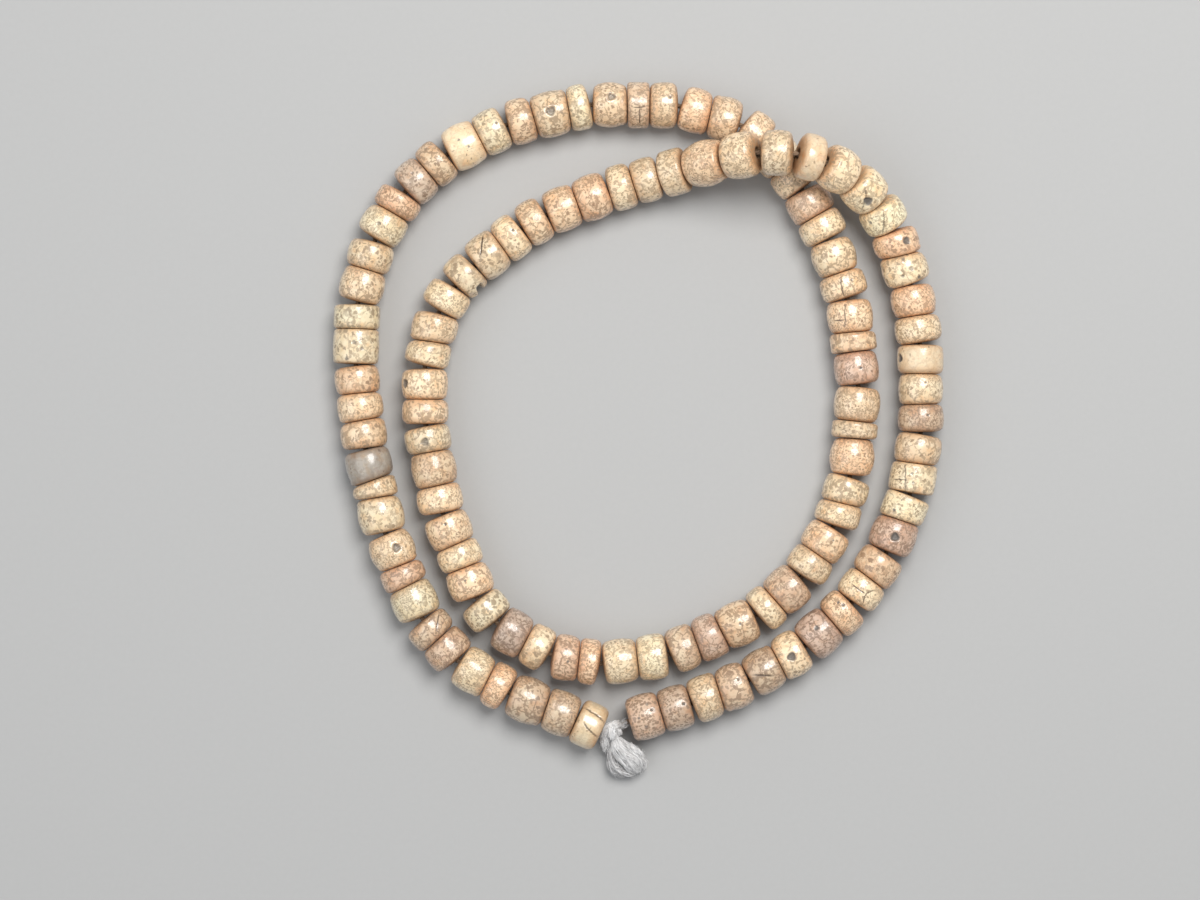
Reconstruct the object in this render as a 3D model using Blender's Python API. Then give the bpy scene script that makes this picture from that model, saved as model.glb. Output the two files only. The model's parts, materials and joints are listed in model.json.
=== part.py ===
"""Doubled strand of barrel-shaped seed beads on one cord, tied with a tufted knot.

The strand lies flat on a surface in two turns that cross once. Every bead is a
turned barrel with a through bore. The cord runs through all the bores, and its
two ends meet in the knot, from which a tuft of loose threads hangs.

Frame: +Z up, z = 0 is the surface the strand lies on, and the origin is the
bottom centre of the whole object's box. Lengths below are in millimetres.
"""

import math

import bmesh
import bpy
import numpy as np
from mathutils import Matrix, Vector

MM = 0.001

# ---------------------------------------------------------------- dimensions
BEAD_RADIUS = 4.72        # flat-to-axis radius of a full-size bead, and the height of the axis
SMALL_BEAD_RADIUS = 4.55  # same, on the slimmer beads between
FACE_RATIO = 0.76         # end face radius over bead radius
SHOULDER = 1.3            # axial length of the rounded shoulder
SIDES = 12                # facets round a bead; one of them faces straight down
BORE_RADIUS = 1.10
CORD_RADIUS = 0.55
NECK_RADIUS = 2.0         # where beads of one group meet
NECK_GAP = 0.30           # groove between beads of one group
FREE_GAP = 0.34           # least air between two groups that turn separately

# Length of each bead along the cord, in order from the knot round to the knot.
BEAD_LENGTHS = (
    [5.6, 6.2, 7.4, 5.1, 7.0, 6.2, 5.4, 6.7, 4.4, 6.8]      # 1-10, lower left
    + [7.2, 3.6, 6.4, 5.6, 5.6, 5.5, 7.2, 5.0, 6.7, 5.8]    # 11-20, left side
    + [6.8, 5.0, 6.0, 5.2, 7.2, 6.0, 5.2, 7.4, 4.2, 7.2]    # 21-30, upper left and top
    + [4.8, 5.8, 6.3, 6.4, 6.6, 6.0, 5.6, 5.6, 5.0, 7.2]    # 31-40, top, under the crossing
    + [5.4, 6.6, 4.0, 6.6, 7.0, 3.5, 7.4, 5.6, 4.8, 6.8]    # 41-50, inner right
    + [5.8, 7.8, 5.2, 7.2, 5.6, 5.5, 6.5, 7.4, 4.5, 5.8]    # 51-60, inner bottom
    + [5.7, 7.0, 6.8, 6.4, 5.2, 6.6, 5.2, 6.8, 5.0, 5.0]    # 61-70, inner left
    + [6.2, 5.2, 6.2, 6.8, 5.3, 7.0, 5.6, 5.8, 6.4, 6.8]    # 71-80, inner upper left
    + [5.2, 5.4, 5.6, 7.2, 6.2, 8.0, 5.4, 6.0, 6.6, 5.8]    # 81-90, over the crossing
    + [5.6, 6.8, 6.2, 5.4, 6.0, 6.4, 5.6, 6.2, 6.2, 5.4]    # 91-100, outer right
    + [7.0, 6.0, 5.8, 5.4, 7.2, 6.0, 6.8, 6.2, 5.8, 6.6]    # 101-110, lower right
    + [7.2]                                                 # 111, back at the knot
)

# Beads per group: neighbours on a nearly straight stretch turn as one.
GROUPS = (
    [1, 2, 2, 2, 3, 3, 3, 2, 2, 2, 2, 2, 3, 3, 2]           # 1-34
    + [1, 2, 2, 2, 3, 3, 2, 2, 2, 3, 2, 2, 2, 1, 3, 3]      # 35-69
    + [2, 2, 1, 1, 2, 1, 2, 2, 1, 1, 1, 1, 1, 1, 1, 1]      # 70-90
    + [2, 2, 3, 2, 2, 2, 2, 2, 2, 2]                        # 91-111
)

# Way of the cord: (beads passed, x, y, height of the axis).
LOW = BEAD_RADIUS
WAY = [
    (0, -7.3, -61.0, LOW), (1, -12.5, -58.6, LOW), (3, -25.9, -54.1, LOW),
    (5, -36.2, -47.4, LOW), (7, -44.2, -38.8, LOW), (10, -50.2, -21.0, LOW),
    (13, -54.0, -4.5, LOW), (16, -56.5, 12.0, LOW), (18, -56.5, 24.5, LOW),
    (20, -52.8, 37.0, LOW), (22, -47.2, 47.3, LOW), (24, -38.0, 54.0, LOW),
    (26, -26.5, 60.3, LOW), (29, -9.5, 64.5, LOW), (32, 8.0, 63.8, LOW),
    (34, 20.5, 60.5, LOW), (35, 26.3, 56.8, LOW), (37, 32.0, 46.5, LOW), (39, 38.0, 37.3, LOW), (41, 42.2, 25.5, LOW),
    (44, 44.0, 8.0, LOW), (47, 42.2, -10.0, LOW), (49, 39.0, -20.0, LOW),
    (51, 33.1, -30.7, LOW), (53, 23.3, -38.0, LOW), (56, 6.1, -45.2, LOW),
    (58, -7.3, -48.1, LOW), (60, -17.6, -45.7, LOW), (62, -28.5, -39.6, LOW), (63, -33.0, -34.5, LOW),
    (66, -38.0, -17.0, LOW), (69, -42.5, 0.0, LOW), (71, -42.8, 11.5, LOW),
    (73, -40.5, 23.0, LOW), (74, -36.8, 28.2, LOW), (75, -32.3, 31.5, LOW),
    (77, -23.5, 39.5, LOW), (78, -18.5, 42.5, LOW), (80, -6.0, 46.7, LOW),
    (82, 4.5, 50.0, LOW), (83, 10.0, 51.2, 7.1), (84, 17.0, 52.6, 11.3),
    (85, 23.0, 54.0, 15.5), (86, 31.0, 53.6, 16.1), (87, 36.5, 52.0, 14.2),
    (88, 42.0, 49.0, 10.9), (89, 47.0, 44.8, 7.7), (90, 50.8, 39.4, 5.4),
    (92, 54.0, 28.0, LOW), (94, 56.2, 16.5, LOW), (97, 57.0, -1.5, LOW),
    (99, 53.8, -13.5, LOW), (101, 50.0, -25.5, LOW), (103, 42.6, -35.3, LOW),
    (105, 33.5, -44.4, LOW), (107, 21.9, -50.6, LOW), (109, 10.6, -55.5, LOW),
    (111, -2.0, -59.0, LOW),
]
EASE_PASSES = 3           # how often the bends are evened out along the cord
EASE_SHARE = 0.7

# Knot between the two end beads, and the tuft that hangs from it.
KNOT_CENTRE = (-4.7, -60.6, 4.6)
KNOT_RADII = (1.25, 1.9, 1.9)
TUFT_START = (-4.1, -63.2, 4.2)
TUFT_END = (-1.3, -70.2, 2.4)
# (share of the tuft's length, half width, half height) of its sections
TUFT_SECTIONS = [
    (0.00, 1.0, 1.0), (0.10, 1.6, 1.6), (0.30, 2.2, 2.1), (0.52, 3.4, 2.5),
    (0.74, 3.9, 2.5), (0.90, 3.1, 1.9), (1.00, 1.6, 1.0),
]


# ---------------------------------------------------------------- the layout
def eased(points):
    """Spreads each sharp bend over its neighbours, as a cord that is packed with beads does."""
    points = points.copy()
    for _ in range(EASE_PASSES):
        steps = np.diff(points, axis=0)
        sizes = np.linalg.norm(steps, axis=1)
        turns = np.diff(steps / sizes[:, None], axis=0)
        even = turns.copy()
        even[1:-1] = 0.25 * turns[:-2] + 0.5 * turns[1:-1] + 0.25 * turns[2:]
        points[1:-1] += EASE_SHARE * (turns - even) / (1 / sizes[:-1] + 1 / sizes[1:])[:, None]
        points[:, 2] = np.maximum(points[:, 2], LOW)
    return points


def group_ends():
    """Points on the cord between groups, in millimetres, from the knot round to the knot."""
    way = {row[0]: row[1:] for row in WAY}
    ends, passed = [way[0]], 0
    for count in GROUPS:
        passed += count
        ends.append(way[passed])
    return list(eased(np.array(ends, float)))


def half_gaps(ends):
    """Air to leave at each end of each group, so that tilted end faces stay apart."""
    ways = [b - a for a, b in zip(ends[:-1], ends[1:])]
    ways = [w / np.linalg.norm(w) for w in ways]
    face = FACE_RATIO * BEAD_RADIUS / math.cos(math.pi / SIDES)
    gaps = [FREE_GAP / 2]
    for a, b in zip(ways[:-1], ways[1:]):
        kink = math.acos(float(np.clip(a @ b, -1.0, 1.0)))
        gaps.append(FREE_GAP / 2 + face * math.sin(kink / 2))
    gaps.append(FREE_GAP / 2)
    return gaps


def bead_radius(number):
    """A natural spread of sizes: every third or so is slimmer."""
    return SMALL_BEAD_RADIUS if number % 7 in (2, 5) else BEAD_RADIUS


def group_profile(first, count, length):
    """(axial position, radius) rings of a group of beads, axial position from its near end."""
    lengths = BEAD_LENGTHS[first:first + count]
    scale = (length - NECK_GAP * (count - 1)) / sum(lengths)
    rings, x = [], 0.0
    for k, nominal in enumerate(lengths):
        flat = BEAD_RADIUS if count == 1 or k == 0 else bead_radius(first + k + 1)
        radius = flat / math.cos(math.pi / SIDES)
        size = nominal * scale
        shoulder = min(SHOULDER, 0.3 * size)
        rings.append((x, BORE_RADIUS if k == 0 else NECK_RADIUS))
        rings += [(x, radius * FACE_RATIO), (x + shoulder, radius),
                  (x + size - shoulder, radius), (x + size, radius * FACE_RATIO)]
        rings.append((x + size, BORE_RADIUS if k == count - 1 else NECK_RADIUS))
        x += size + NECK_GAP
    return rings


def turned_mesh(name, rings, length):
    """Closed tube turned about local X and centred on its length, with one facet facing local -Z."""
    bm = bmesh.new()
    loops = []
    for x, radius in rings:
        loop = []
        for j in range(SIDES):
            angle = (j + 0.5) * 2 * math.pi / SIDES
            loop.append(bm.verts.new(((x - length / 2) * MM,
                                      radius * math.sin(angle) * MM,
                                      radius * math.cos(angle) * MM)))
        loops.append(loop)
    for k in range(len(loops)):
        a, b = loops[k], loops[(k + 1) % len(loops)]
        for j in range(SIDES):
            m = (j + 1) % SIDES
            bm.faces.new((a[j], a[m], b[m], b[j]))
    bmesh.ops.recalc_face_normals(bm, faces=bm.faces)
    mesh = bpy.data.meshes.new(name)
    bm.to_mesh(mesh)
    bm.free()
    return mesh


def lofted_mesh(name, sections):
    """Closed body through elliptical sections: (centre, side axis, up axis, half width, half height)."""
    bm = bmesh.new()
    loops = []
    for centre, side, up, wide, high in sections:
        loops.append([
            bm.verts.new((centre + side * (wide * math.sin(a)) + up * (high * math.cos(a))) * MM)
            for a in [(j + 0.5) * 2 * math.pi / SIDES for j in range(SIDES)]
        ])
    for a, b in zip(loops[:-1], loops[1:]):
        for j in range(SIDES):
            m = (j + 1) % SIDES
            bm.faces.new((a[j], a[m], b[m], b[j]))
    bm.faces.new(loops[0])
    bm.faces.new(list(reversed(loops[-1])))
    bmesh.ops.recalc_face_normals(bm, faces=bm.faces)
    mesh = bpy.data.meshes.new(name)
    bm.to_mesh(mesh)
    bm.free()
    return mesh


def material(name, colour, roughness, metallic=0.0):
    mat = bpy.data.materials.new(name)
    mat.use_nodes = True
    shader = mat.node_tree.nodes["Principled BSDF"]
    shader.inputs["Base Color"].default_value = (*colour, 1.0)
    shader.inputs["Roughness"].default_value = roughness
    shader.inputs["Metallic"].default_value = metallic
    return mat


def add(name, data, mat, matrix=None):
    obj = bpy.data.objects.new(name, data)
    bpy.context.scene.collection.objects.link(obj)
    data.materials.append(mat)
    if matrix is not None:
        obj.matrix_world = matrix
    if isinstance(data, bpy.types.Mesh):
        data.shade_smooth()
        data.set_sharp_from_angle(angle=math.radians(40))
    return obj


def axis_frame(start, end):
    """Rotation whose X runs from start to end and whose Z is as near up as it can be."""
    along = Vector(end - start).normalized()
    up = (Vector((0, 0, 1)) - along * along.z).normalized()
    side = up.cross(along)
    return Matrix((along, side, up)).transposed().to_4x4()


def group_name(first, count):
    if count == 1:
        return "bead_%03d" % (first + 1)
    return "beads_%03d_%03d" % (first + 1, first + count)


def groups():
    """Every group as (name, first bead, bead count, near end, far end), the ends clear of their neighbours."""
    ends, gaps = group_ends(), half_gaps(group_ends())
    rows, first = [], 0
    for k, count in enumerate(GROUPS):
        a, b = ends[k], ends[k + 1]
        along = (b - a) / np.linalg.norm(b - a)
        rows.append((group_name(first, count), first, count,
                     a + along * gaps[k], b - along * gaps[k + 1]))
        first += count
    return rows


def build():
    for obj in list(bpy.data.objects):
        bpy.data.objects.remove(obj, do_unlink=True)

    made = []
    tans = [(0.60, 0.36, 0.15), (0.52, 0.29, 0.11), (0.66, 0.42, 0.19), (0.45, 0.23, 0.09)]
    for k, (name, first, count, start, end) in enumerate(groups()):
        length = float(np.linalg.norm(end - start))
        mesh = turned_mesh(name, group_profile(first, count, length), length)
        place = Matrix.Translation(Vector((start + end) / 2) * MM) @ axis_frame(start, end)
        made.append(add(name, mesh, material(name + "_seed", tans[k % len(tans)], 0.28), place))

    # cord, coaxial with every bore, from one side of the knot round to the other
    ends = group_ends()
    knot = np.array(KNOT_CENTRE)

    def to_knot(point):
        """Where the cord stops, just clear of the knot."""
        away = (point - knot) / np.linalg.norm(point - knot)
        reach = 1.0 / math.sqrt(sum((c / r) ** 2 for c, r in zip(away, KNOT_RADII)))
        return knot + away * (reach + 0.35)

    points = [to_knot(ends[0])] + ends + [to_knot(ends[-1])]
    curve = bpy.data.curves.new("cord", "CURVE")
    curve.dimensions = "3D"
    curve.bevel_depth = CORD_RADIUS * MM
    curve.bevel_resolution = 2
    curve.use_fill_caps = True
    spline = curve.splines.new("POLY")
    spline.points.add(len(points) - 1)
    for spot, p in zip(spline.points, points):
        spot.co = (*(Vector(p) * MM), 1.0)
    made.append(add("cord", curve, material("cord_thread", (0.42, 0.38, 0.33), 0.7)))

    # knot: a tight squashed ball of wound thread, its short axis along the strand
    along = Vector(ends[0] - ends[-1]).normalized()
    along.z = 0.0
    along.normalize()
    up = Vector((0, 0, 1))
    side = up.cross(along)
    stations = [-0.94, -0.7, -0.35, 0.0, 0.35, 0.7, 0.94]
    made.append(add("knot", lofted_mesh("knot", [
        (Vector(KNOT_CENTRE) + along * (KNOT_RADII[0] * s), side, up,
         KNOT_RADII[1] * math.sqrt(1 - s * s), KNOT_RADII[2] * math.sqrt(1 - s * s))
        for s in stations]), material("knot_thread", (0.62, 0.60, 0.57), 0.55)))

    # tuft of loose thread ends, lying out from the knot
    start, end = Vector(TUFT_START), Vector(TUFT_END)
    run = end - start
    level = Vector((run.x, run.y, 0)).normalized()
    side = Vector((0, 0, 1)).cross(level)
    made.append(add("thread_tuft", lofted_mesh("thread_tuft", [
        (start + run * share, side, Vector((0, 0, 1)), wide, high)
        for share, wide, high in TUFT_SECTIONS]),
        material("tuft_thread", (0.68, 0.66, 0.64), 0.5)))

    # centre the whole object's box on the origin, seen from above
    bpy.context.view_layer.update()
    graph = bpy.context.evaluated_depsgraph_get()
    low, high = np.full(3, 1e9), np.full(3, -1e9)
    for obj in made:
        shape = obj.evaluated_get(graph)
        mesh = shape.to_mesh()
        for vert in mesh.vertices:
            spot = np.array(obj.matrix_world @ vert.co)
            low, high = np.minimum(low, spot), np.maximum(high, spot)
        shape.to_mesh_clear()
    shift = Matrix.Translation(Vector((-(low[0] + high[0]) / 2, -(low[1] + high[1]) / 2, -low[2])))
    for obj in made:
        obj.matrix_world = shift @ obj.matrix_world
    bpy.context.view_layer.update()
    return made


build()
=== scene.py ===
import json
import math

import bpy
import numpy as np
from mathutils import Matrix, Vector


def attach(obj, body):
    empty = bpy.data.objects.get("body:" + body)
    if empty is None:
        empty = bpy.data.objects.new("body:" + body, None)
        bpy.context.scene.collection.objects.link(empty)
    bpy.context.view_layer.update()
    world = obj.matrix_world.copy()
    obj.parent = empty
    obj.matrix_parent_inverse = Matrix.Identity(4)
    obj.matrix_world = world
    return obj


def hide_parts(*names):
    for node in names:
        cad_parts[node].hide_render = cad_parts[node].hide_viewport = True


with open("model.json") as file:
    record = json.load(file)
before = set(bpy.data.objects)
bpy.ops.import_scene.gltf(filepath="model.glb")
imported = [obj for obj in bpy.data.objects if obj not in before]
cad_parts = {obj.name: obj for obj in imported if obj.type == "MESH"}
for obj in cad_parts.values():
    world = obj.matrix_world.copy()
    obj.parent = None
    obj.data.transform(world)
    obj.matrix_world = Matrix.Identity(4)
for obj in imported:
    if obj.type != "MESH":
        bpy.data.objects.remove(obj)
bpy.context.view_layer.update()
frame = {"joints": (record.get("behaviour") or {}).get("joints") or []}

MM = 0.001

# ------------------------------------------------------------------ the strand, as part.py lays it out (mm)
BEAD_LENGTHS = (
    [5.6, 6.2, 7.4, 5.1, 7.0, 6.2, 5.4, 6.7, 4.4, 6.8]
    + [7.2, 3.6, 6.4, 5.6, 5.6, 5.5, 7.2, 5.0, 6.7, 5.8]
    + [6.8, 5.0, 6.0, 5.2, 7.2, 6.0, 5.2, 7.4, 4.2, 7.2]
    + [4.8, 5.8, 6.3, 6.4, 6.6, 6.0, 5.6, 5.6, 5.0, 7.2]
    + [5.4, 6.6, 4.0, 6.6, 7.0, 3.5, 7.4, 5.6, 4.8, 6.8]
    + [5.8, 7.8, 5.2, 7.2, 5.6, 5.5, 6.5, 7.4, 4.5, 5.8]
    + [5.7, 7.0, 6.8, 6.4, 5.2, 6.6, 5.2, 6.8, 5.0, 5.0]
    + [6.2, 5.2, 6.2, 6.8, 5.3, 7.0, 5.6, 5.8, 6.4, 6.8]
    + [5.2, 5.4, 5.6, 7.2, 6.2, 8.0, 5.4, 6.0, 6.6, 5.8]
    + [5.6, 6.8, 6.2, 5.4, 6.0, 6.4, 5.6, 6.2, 6.2, 5.4]
    + [7.0, 6.0, 5.8, 5.4, 7.2, 6.0, 6.8, 6.2, 5.8, 6.6]
    + [7.2]
)
GROUPS = (
    [1, 2, 2, 2, 3, 3, 3, 2, 2, 2, 2, 2, 3, 3, 2]
    + [1, 2, 2, 2, 3, 3, 2, 2, 2, 3, 2, 2, 2, 1, 3, 3]
    + [2, 2, 1, 1, 2, 1, 2, 2, 1, 1, 1, 1, 1, 1, 1, 1]
    + [2, 2, 3, 2, 2, 2, 2, 2, 2, 2]
)
LOW = 4.72
WAY = [
    (0, -7.3, -61.0, LOW), (1, -12.5, -58.6, LOW), (3, -25.9, -54.1, LOW),
    (5, -36.2, -47.4, LOW), (7, -44.2, -38.8, LOW), (10, -50.2, -21.0, LOW),
    (13, -54.0, -4.5, LOW), (16, -56.5, 12.0, LOW), (18, -56.5, 24.5, LOW),
    (20, -52.8, 37.0, LOW), (22, -47.2, 47.3, LOW), (24, -38.0, 54.0, LOW),
    (26, -26.5, 60.3, LOW), (29, -9.5, 64.5, LOW), (32, 8.0, 63.8, LOW),
    (34, 20.5, 60.5, LOW), (35, 26.3, 56.8, LOW), (37, 32.0, 46.5, LOW), (39, 38.0, 37.3, LOW), (41, 42.2, 25.5, LOW),
    (44, 44.0, 8.0, LOW), (47, 42.2, -10.0, LOW), (49, 39.0, -20.0, LOW),
    (51, 33.1, -30.7, LOW), (53, 23.3, -38.0, LOW), (56, 6.1, -45.2, LOW),
    (58, -7.3, -48.1, LOW), (60, -17.6, -45.7, LOW), (62, -28.5, -39.6, LOW), (63, -33.0, -34.5, LOW),
    (66, -38.0, -17.0, LOW), (69, -42.5, 0.0, LOW), (71, -42.8, 11.5, LOW),
    (73, -40.5, 23.0, LOW), (74, -36.8, 28.2, LOW), (75, -32.3, 31.5, LOW),
    (77, -23.5, 39.5, LOW), (78, -18.5, 42.5, LOW), (80, -6.0, 46.7, LOW),
    (82, 4.5, 50.0, LOW), (83, 10.0, 51.2, 7.1), (84, 17.0, 52.6, 11.3),
    (85, 23.0, 54.0, 15.5), (86, 31.0, 53.6, 16.1), (87, 36.5, 52.0, 14.2),
    (88, 42.0, 49.0, 10.9), (89, 47.0, 44.8, 7.7), (90, 50.8, 39.4, 5.4),
    (92, 54.0, 28.0, LOW), (94, 56.2, 16.5, LOW), (97, 57.0, -1.5, LOW),
    (99, 53.8, -13.5, LOW), (101, 50.0, -25.5, LOW), (103, 42.6, -35.3, LOW),
    (105, 33.5, -44.4, LOW), (107, 21.9, -50.6, LOW), (109, 10.6, -55.5, LOW),
    (111, -2.0, -59.0, LOW),
]
KNOT_CENTRE = np.array((-4.7, -60.6, 4.6))
TUFT_START = np.array((-4.1, -63.2, 4.2))
TUFT_END = np.array((-1.3, -70.2, 2.4))

EASE_PASSES = 3
EASE_SHARE = 0.7


def eased(points):
    """Spreads each sharp bend over its neighbours, as a cord that is packed with beads does."""
    points = points.copy()
    for _ in range(EASE_PASSES):
        steps = np.diff(points, axis=0)
        sizes = np.linalg.norm(steps, axis=1)
        turns = np.diff(steps / sizes[:, None], axis=0)
        even = turns.copy()
        even[1:-1] = 0.25 * turns[:-2] + 0.5 * turns[1:-1] + 0.25 * turns[2:]
        points[1:-1] += EASE_SHARE * (turns - even) / (1 / sizes[:-1] + 1 / sizes[1:])[:, None]
        points[:, 2] = np.maximum(points[:, 2], LOW)
    return points


_way = {row[0]: row[1:] for row in WAY}
_passed = np.r_[0, np.cumsum(GROUPS)]
ENDS = list(eased(np.array([_way[int(n)] for n in _passed], float)))

NAMES = []
_first = 0
for _count in GROUPS:
    NAMES.append("bead_%03d" % (_first + 1) if _count == 1 else "beads_%03d_%03d" % (_first + 1, _first + _count))
    _first += _count

# the layout's place in the row frame, from where the CAD says the tuft's hinge runs
_hinge = next(j for j in frame["joints"] if j["name"] == "tuft_swing")
SHIFT = np.array(_hinge["pos_m"], float) / MM - KNOT_CENTRE
SHIFT[2] = 0.0


def unit(v):
    v = np.asarray(v, float)
    return v / np.linalg.norm(v)


def cross_frame(along):
    """(side, up) square to a direction: up as near +Z as it can be, side to the left of it, seen from above."""
    along = unit(along)
    up = unit(np.array((0.0, 0.0, 1.0)) - along * along[2])
    return np.cross(up, along), up


# ------------------------------------------------------------------ what each bead looks like
# Colour of each bead: Y pale straw, H honey, O amber, B brown, R red-brown, D dark brown, K grey-brown, P dusty brown
COLOURS = (
    "HBBOHBBYBH" "YHKHHOYYHH" "YOROHYOHYH" "BHOHHYHBHH" "HOORHYOHHO" "HBHORBYYOB"
    "HDYOHOHOYH" "HHHYYYYOOO" "HHHOHHHYYY" "OHOHHHBHYY" "ROHODHBBHP" "P"
)
# How it is marked: 0 nearly plain, 1 few large spots, 2 scattered dots, 3 dense fine dots,
# 4 dashes and broken cells, 5 even round dots
MARKS = (
    "0344344342" "1202211141" "2434024423" "4324333324" "4213322423" "2324442344"
    "1454222344" "3233112434" "4323330222" "1124024211" "4114424445" "5"
)
# Polished colours: (light, deep)
PALETTE = {
    "Y": ((0.972, 0.900, 0.765), (0.955, 0.858, 0.700)),
    "H": ((0.962, 0.872, 0.735), (0.935, 0.818, 0.662)),
    "O": ((0.950, 0.836, 0.696), (0.912, 0.758, 0.606)),
    "B": ((0.880, 0.775, 0.655), (0.825, 0.695, 0.578)),
    "R": ((0.884, 0.784, 0.690), (0.832, 0.708, 0.608)),
    "D": ((0.825, 0.728, 0.648), (0.742, 0.638, 0.560)),
    "K": ((0.700, 0.655, 0.606), (0.628, 0.580, 0.532)),
    "P": ((0.840, 0.735, 0.640), (0.780, 0.665, 0.565)),
}
# style: (share of dots kept, dot size, dashes, broken cells)
STYLES = {
    "0": (0.24, 0.80, 0.10, 0.30),
    "1": (0.45, 1.50, 0.30, 0.70),
    "2": (0.72, 1.05, 0.45, 0.85),
    "3": (0.95, 0.98, 0.50, 0.80),
    "4": (0.70, 0.95, 0.90, 1.00),
    "5": (1.00, 1.30, 0.10, 0.20),
}
# Moon pits and eyes: bead: [(mm along from its middle, mm towards the loop's outside, radius, depth, darkness)]
PITS = {
    10: [(0.0, -1.3, 0.85, 0.40, 0.75)],
    17: [(0.9, 0.1, 0.50, 0.15, 0.65), (-0.3, -1.5, 0.42, 0.12, 0.65), (-2.4, 1.5, 0.42, 0.12, 0.80)],
    21: [(0.0, 0.6, 0.45, 0.20, 0.60)],
    23: [(0.6, 1.4, 0.38, 0.16, 0.60)],
    25: [(-0.2, 1.1, 0.30, 0.08, 0.80), (1.0, -1.0, 0.30, 0.08, 0.75)],
    26: [(1.3, 0.9, 0.30, 0.08, 0.70)],
    28: [(0.0, 0.1, 0.92, 0.38, 0.72)],
    30: [(0.4, 1.2, 0.78, 0.42, 0.70)],
    32: [(1.0, 1.2, 0.34, 0.16, 0.75)],
    36: [(-0.2, 0.3, 0.30, 0.12, 0.80)],
    41: [(-0.6, 1.5, 0.30, 0.12, 0.80)],
    44: [(0.0, 0.5, 0.34, 0.16, 0.90)],
    50: [(-0.8, 1.0, 0.26, 0.10, 0.85)],
    54: [(-0.2, -0.2, 0.32, 0.14, 0.85)],
    60: [(-0.8, 0.4, 0.28, 0.10, 0.85)],
    64: [(0.9, 0.6, 0.30, 0.12, 0.85)],
    66: [(1.2, 0.1, 0.34, 0.16, 0.90)],
    69: [(-0.6, 0.5, 0.80, 0.40, 0.70)],
    71: [(0.0, 3.9, 0.88, 0.40, 0.90)],
    77: [(1.0, 0.7, 0.30, 0.12, 0.85)],
    89: [(0.4, -1.6, 0.90, 0.45, 0.95)],
    90: [(-1.0, -3.4, 0.40, 0.12, 0.85)],
    91: [(0.2, 1.7, 0.75, 0.35, 0.90)],
    92: [(-0.2, 0.7, 0.55, 0.14, 0.62), (-2.3, -0.2, 0.42, 0.12, 0.70), (2.0, 1.8, 0.38, 0.12, 0.85), (0.7, -1.4, 0.38, 0.1, 0.6)],
    95: [(-0.1, -4.3, 0.80, 0.40, 0.97)],
    96: [(-1.3, 0.6, 0.26, 0.10, 0.80)],
    97: [(-0.7, 1.0, 0.30, 0.12, 0.85)],
    99: [(-1.0, -0.7, 0.34, 0.12, 0.70), (0.7, -0.2, 0.30, 0.10, 0.65)],
    100: [(1.4, -2.2, 0.36, 0.10, 0.90), (-1.0, -1.6, 0.22, 0.06, 0.8)],
    101: [(0.0, 0.0, 0.85, 0.48, 0.97)],
    104: [(-1.1, -1.3, 0.44, 0.12, 0.85), (-0.7, -2.3, 0.34, 0.10, 0.85)],
    105: [(-0.5, -1.5, 0.55, 0.16, 0.85)],
    106: [(0.4, 0.0, 0.85, 0.42, 0.93)],
    108: [(-1.2, -1.4, 0.30, 0.14, 0.85)],
    110: [(-1.6, -0.8, 0.36, 0.16, 0.88)],
    111: [(-1.6, -1.3, 0.32, 0.12, 0.85), (0.3, 1.7, 0.36, 0.05, 0.7), (1.2, -0.4, 0.36, 0.05, 0.75), (-1.0, -2.6, 0.34, 0.05, 0.7)],
}
# Cracks: bead: [(width, depth, [points (mm along, mm outward)])]
CRACKS = {
    1: [(0.17, 0.16, [(-2.7, 1.3), (-1.2, 0.8), (0.2, 0.3), (1.4, -0.5)]),
        (0.20, 0.20, [(-2.7, -2.2), (-1.0, -2.7), (0.8, -2.9), (2.6, -3.3)])],
    7: [(0.14, 0.06, [(-2.0, 0.0), (-0.6, -1.4), (0.6, -2.8), (1.4, -3.8)])],
    31: [(0.12, 0.05, [(0.2, -0.9), (0.3, -2.4), (0.2, -4.2)]), (0.12, 0.05, [(-1.2, -1.0), (1.6, -0.8)])],
    41: [(0.13, 0.06, [(-2.3, -0.1), (-0.8, -0.7), (0.8, -0.9), (2.3, -1.0)])],
    42: [(0.13, 0.06, [(-2.8, -1.0), (-1.0, -1.3), (1.0, -1.4), (2.8, -2.0)]), (0.12, 0.05, [(0.8, -1.4), (0.7, -3.6)])],
    76: [(0.18, 0.10, [(-1.4, 0.3), (-0.3, 1.4), (0.8, 2.6), (1.9, 3.9)])],
    89: [(0.12, 0.05, [(-2.6, 0.2), (-1.0, -0.9), (0.6, -2.8), (1.8, -4.0)])],
    90: [(0.13, 0.06, [(-2.4, 0.1), (-0.8, -0.6), (0.8, -1.6), (2.4, -2.8)])],
    99: [(0.13, 0.08, [(-2.9, -2.6), (-1.2, -2.1), (0.6, -1.8), (2.7, -1.5)]), (0.12, 0.06, [(0.4, -1.8), (0.8, -4.0)])],
    103: [(0.14, 0.06, [(0.0, 0.9), (0.1, -0.8), (-0.1, -2.8)]), (0.13, 0.06, [(-2.1, 2.5), (-1.0, 1.4), (0.0, 0.9), (1.2, 1.2), (2.4, 1.9)])],
    107: [(0.20, 0.07, [(-1.3, 1.6), (0.0, 0.6), (1.2, -0.2), (2.5, -1.1)])],
}
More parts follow.
